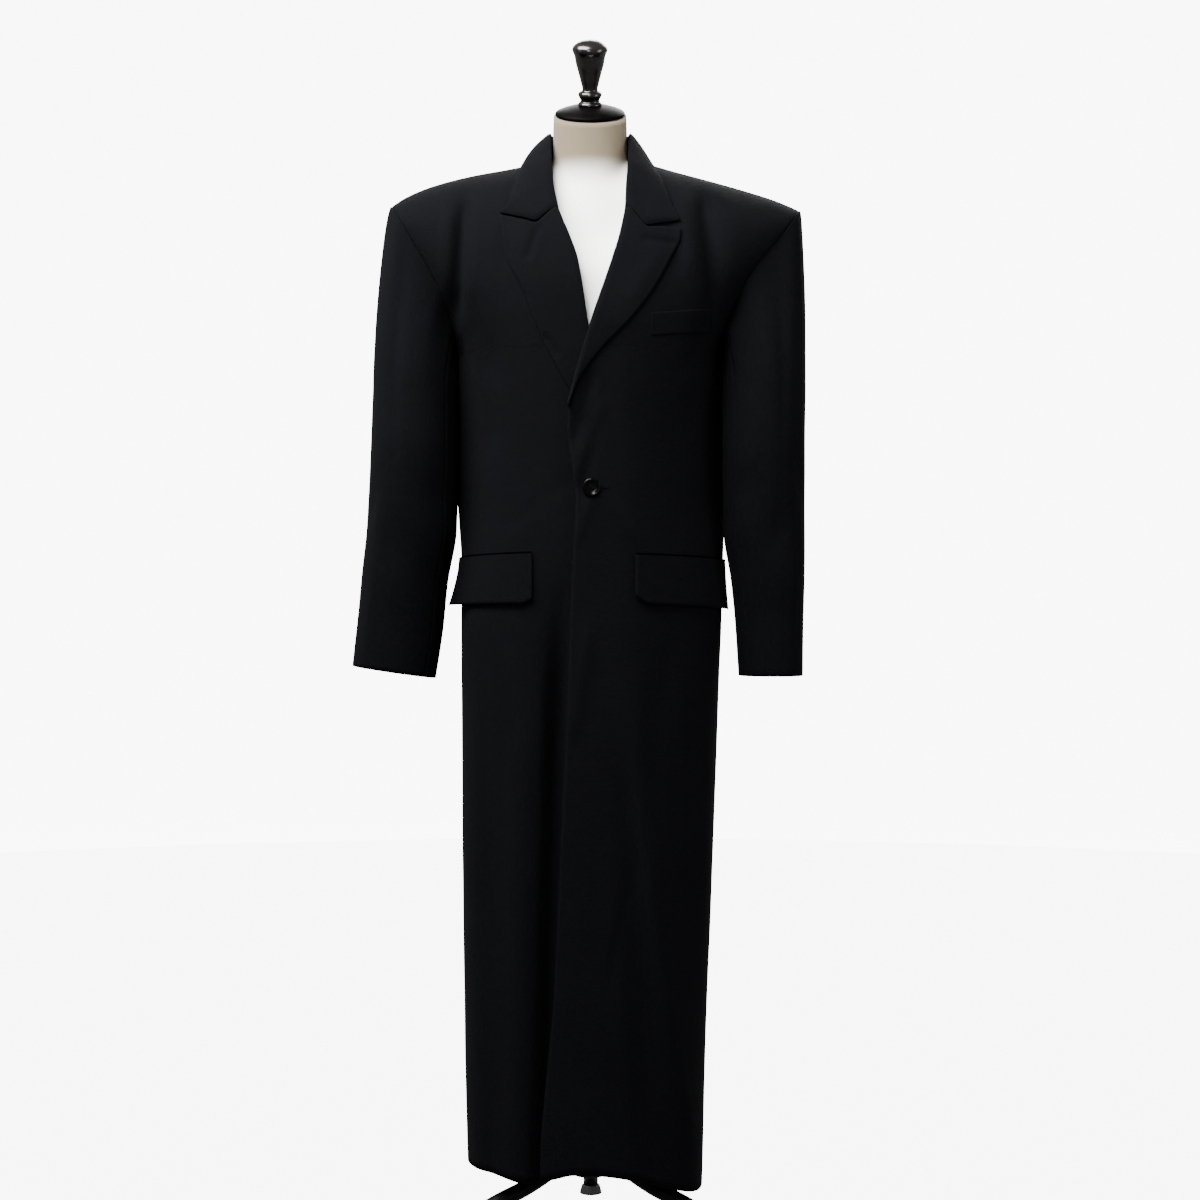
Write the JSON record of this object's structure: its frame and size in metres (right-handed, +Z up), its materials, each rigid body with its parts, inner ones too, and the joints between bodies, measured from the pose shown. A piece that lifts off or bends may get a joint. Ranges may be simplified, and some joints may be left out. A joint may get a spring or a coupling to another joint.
{
  "type": "long blazer on a dress form",
  "caption": "Long single-button tailored blazer with padded shoulders, notched lapels and flap pockets, resting on a limbless dress form with a turned knob, pole and three-legged base.",
  "frame": {"origin": "on the floor, at the centre of the whole object's outline seen from above", "axes": "+Z up, the garment's front faces -Y, the wearer's left is +X"},
  "size_m": [0.633, 0.4049, 1.6819],
  "materials": {
    "cloth": "matt near-black wool-like weave",
    "button": "glossy black",
    "linen": "matt cream linen",
    "black_wood": "glossy black turned wood",
    "black_metal": "satin black"
  },
  "bodies": {
    "root": {"right_front": "cloth", "left_front": "cloth", "right_back": "cloth", "left_back": "cloth", "right_top_sleeve": "cloth", "left_top_sleeve": "cloth", "right_under_sleeve": "cloth", "left_under_sleeve": "cloth", "right_lapel": "cloth", "left_lapel": "cloth", "collar_fall": "cloth", "collar_stand": "cloth", "right_pocket_flap": "cloth", "left_pocket_flap": "cloth", "chest_welt": "cloth", "front_button": "button", "form_torso": "linen", "neck_cap": "black_wood", "knob": "black_wood", "pole": "black_metal", "base_hub": "black_metal", "leg_1": "black_metal", "leg_2": "black_metal", "leg_3": "black_metal", "foot_pad_1": "black_metal", "foot_pad_2": "black_metal", "foot_pad_3": "black_metal"}
  },
  "joints": []
}
